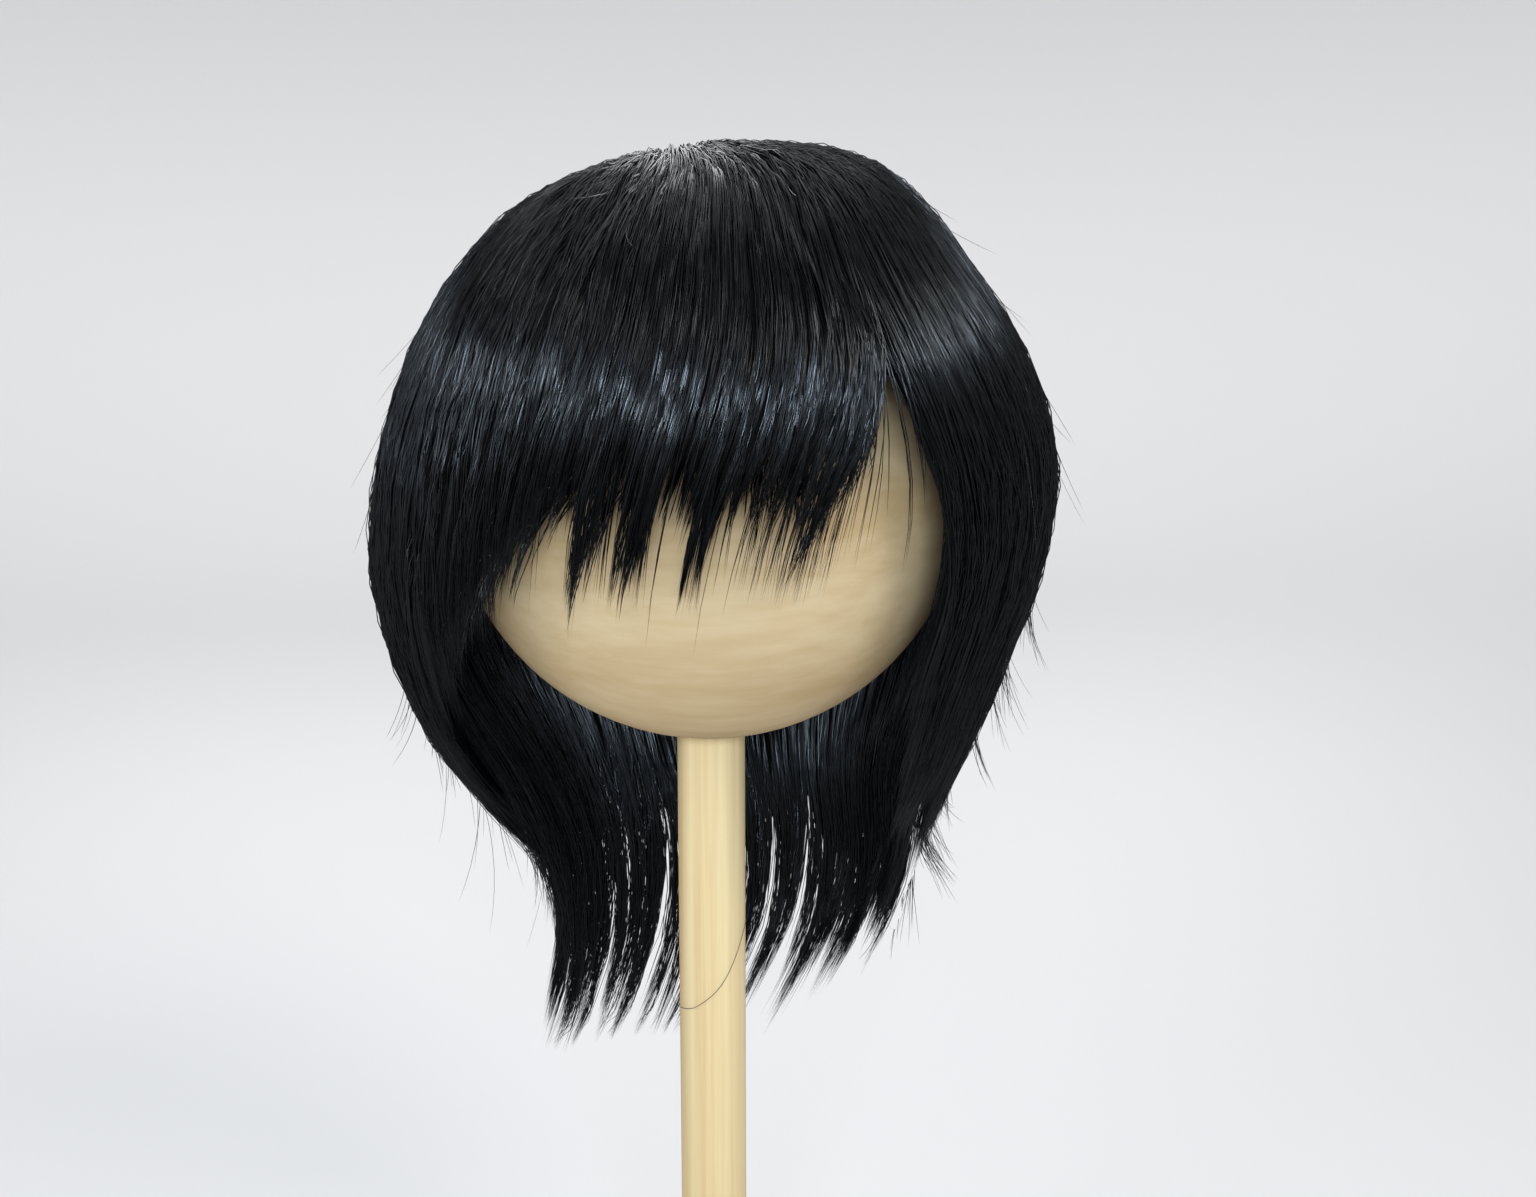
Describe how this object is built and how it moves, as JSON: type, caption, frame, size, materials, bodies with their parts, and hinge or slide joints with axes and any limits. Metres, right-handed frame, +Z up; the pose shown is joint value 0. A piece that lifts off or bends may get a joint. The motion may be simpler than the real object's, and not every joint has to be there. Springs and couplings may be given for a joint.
{
  "type": "short wig on a ball stand",
  "caption": "Short black doll's wig with a pointed fringe and tapered nape, on a plain wooden ball-and-dowel stand that keeps its shape.",
  "frame": {"origin": "centre of the underside of the stand's base", "axes": "+Z up along the dowel; the fringe faces -Y; +X is to the right in the front view"},
  "size_m": [0.0937, 0.0918, 0.1919],
  "materials": {
    "net": "fine knitted stretch net, matt black",
    "hair": "smooth synthetic fibre, near black with a soft blue-grey sheen",
    "ball_wood": "turned and sanded pale wood, bare",
    "dowel_wood": "planed pale wood with straight grain, bare"
  },
  "bodies": {
    "root": {"wig_cap": "net", "hair_fringe": "hair", "hair_side_left": "hair", "hair_side_right": "hair", "hair_back": "hair", "hair_nape": "hair", "stand_ball": "ball_wood", "stand_dowel": "dowel_wood", "stand_base": "ball_wood"}
  },
  "joints": []
}
